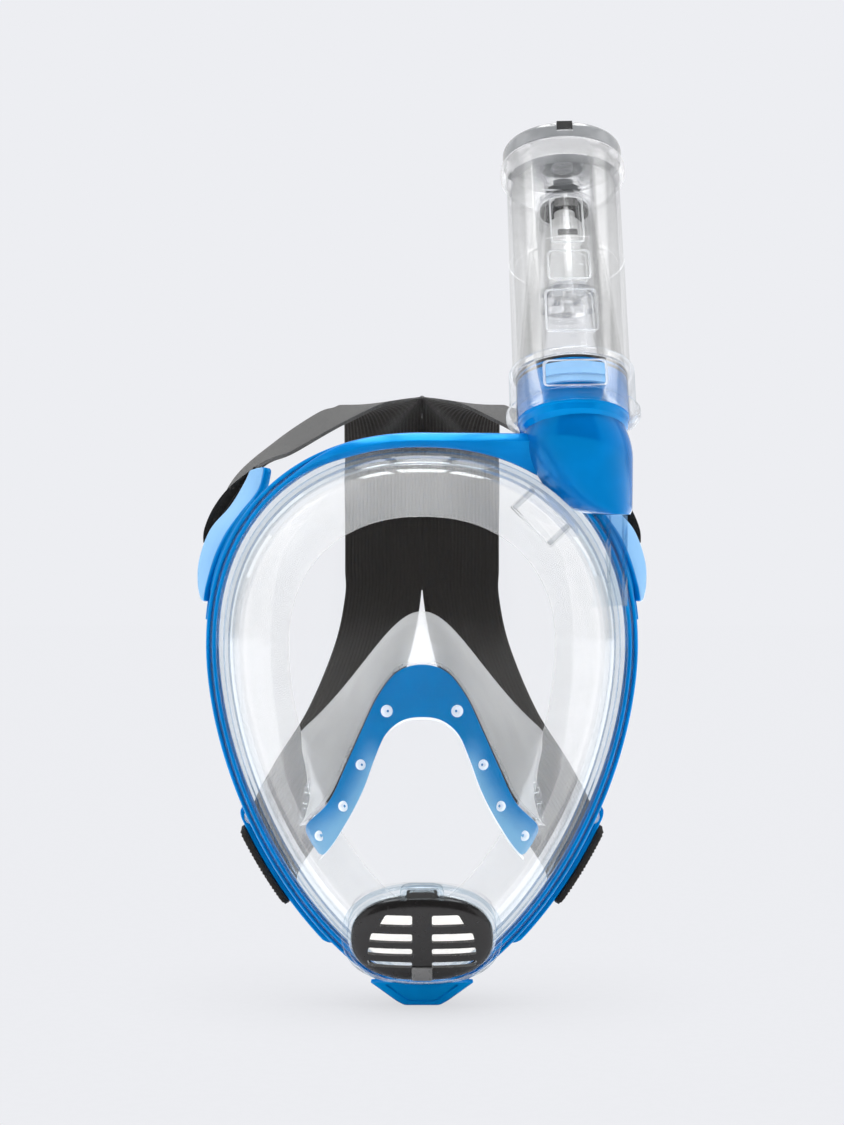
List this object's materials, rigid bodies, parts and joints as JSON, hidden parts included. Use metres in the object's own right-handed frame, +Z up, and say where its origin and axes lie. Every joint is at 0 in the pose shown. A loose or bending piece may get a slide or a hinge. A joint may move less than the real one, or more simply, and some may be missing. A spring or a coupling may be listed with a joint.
{
  "type": "full-face snorkel mask",
  "caption": "Full-face snorkel mask with clear visor, soft face seal, nose pocket, chin drain valve, webbing harness and an offset removable dry-top snorkel.",
  "frame": {"origin": "middle of the flat underside of the chin block, on the frame's centre line", "axes": "+Z up to the forehead, +X to the side that carries the snorkel, -Y the way the wearer looks, so the face enters from +Y"},
  "size_m": [0.1944, 0.2036, 0.3688],
  "materials": {
    "clear_plastic": "clear polycarbonate, polished",
    "blue_plastic": "glossy blue moulding",
    "milky_silicone": "translucent milky silicone",
    "black_plastic": "glossy black moulding",
    "black_rubber": "matt black rubber",
    "smoke_plastic": "smoky grey translucent plastic",
    "frosted_plastic": "frosted clear plastic",
    "webbing": "ribbed elastic webbing"
  },
  "bodies": {
    "mask": {"lens": "clear_plastic", "front_frame": "blue_plastic", "rear_frame": "blue_plastic", "face_skirt": "milky_silicone", "nose_pocket": "milky_silicone", "pocket_frame": "blue_plastic", "pocket_studs": "clear_plastic", "inhale_seat_left": "clear_plastic", "inhale_seat_right": "clear_plastic", "purge_housing": "clear_plastic", "purge_seat": "frosted_plastic", "snorkel_socket": "blue_plastic", "socket_seal": "black_rubber", "air_inlet": "clear_plastic", "exhale_duct": "clear_plastic", "upper_clip_left": "blue_plastic", "upper_clip_right": "blue_plastic", "clip_pins": "clear_plastic", "strap_left": "webbing", "strap_right": "webbing", "strap_seam": "webbing"},
    "snorkel": {"snorkel_collar": "clear_plastic", "snorkel_tube": "clear_plastic", "inner_duct": "clear_plastic", "float_guide": "clear_plastic", "intake_seat": "clear_plastic", "tube_cap": "smoke_plastic", "cap_catch": "black_plastic"},
    "latch": {"release_latch": "blue_plastic"},
    "float": {"float_body": "frosted_plastic", "float_seal": "black_rubber"},
    "chin_cover": {"purge_cover": "black_plastic"},
    "chin_membrane": {"purge_membrane": "milky_silicone"},
    "inhale_flap_left": {"inhale_valve_left": "milky_silicone"},
    "inhale_flap_right": {"inhale_valve_right": "milky_silicone"},
    "clip_left": {"lower_clip_left": "blue_plastic", "strap_loop_left": "webbing"},
    "clip_right": {"lower_clip_right": "blue_plastic", "strap_loop_right": "webbing"}
  },
  "joints": [
    {"name": "snorkel_release", "type": "slide", "parent": "mask", "child": "snorkel", "axis": [-0.0197, 0.342, 0.9395], "range_m": [0, 0.02]},
    {"name": "latch_press", "type": "slide", "parent": "snorkel", "child": "latch", "axis": [0.0072, 0.9397, -0.342], "range_m": [0, 0.0012]},
    {"name": "float_lift", "type": "slide", "parent": "snorkel", "child": "float", "axis": [-0.0197, 0.342, 0.9395], "range_m": [0, 0.008]},
    {"name": "cover_open", "type": "hinge", "parent": "mask", "child": "chin_cover", "pos_m": [0, -0.02427, 0.01217], "axis": [1, 0, 0], "range_deg": [0, 70]},
    {"name": "membrane_lift", "type": "slide", "parent": "mask", "child": "chin_membrane", "axis": [0, -0.9511, -0.309], "range_m": [0, 0.0015]},
    {"name": "inhale_left", "type": "slide", "parent": "mask", "child": "inhale_flap_left", "axis": [0.9752, -0.1392, -0.172], "range_m": [0, 0.0012]},
    {"name": "inhale_right", "type": "slide", "parent": "mask", "child": "inhale_flap_right", "axis": [-0.9752, -0.1392, -0.172], "range_m": [0, 0.0012]},
    {"name": "clip_left_open", "type": "hinge", "parent": "mask", "child": "clip_left", "pos_m": [-0.07275, 0.02991, 0.07319], "axis": [0, 1, 0], "range_deg": [0, 25]},
    {"name": "clip_right_open", "type": "hinge", "parent": "mask", "child": "clip_right", "pos_m": [0.07275, 0.02991, 0.07319], "axis": [0, -1, 0], "range_deg": [0, 25]}
  ]
}
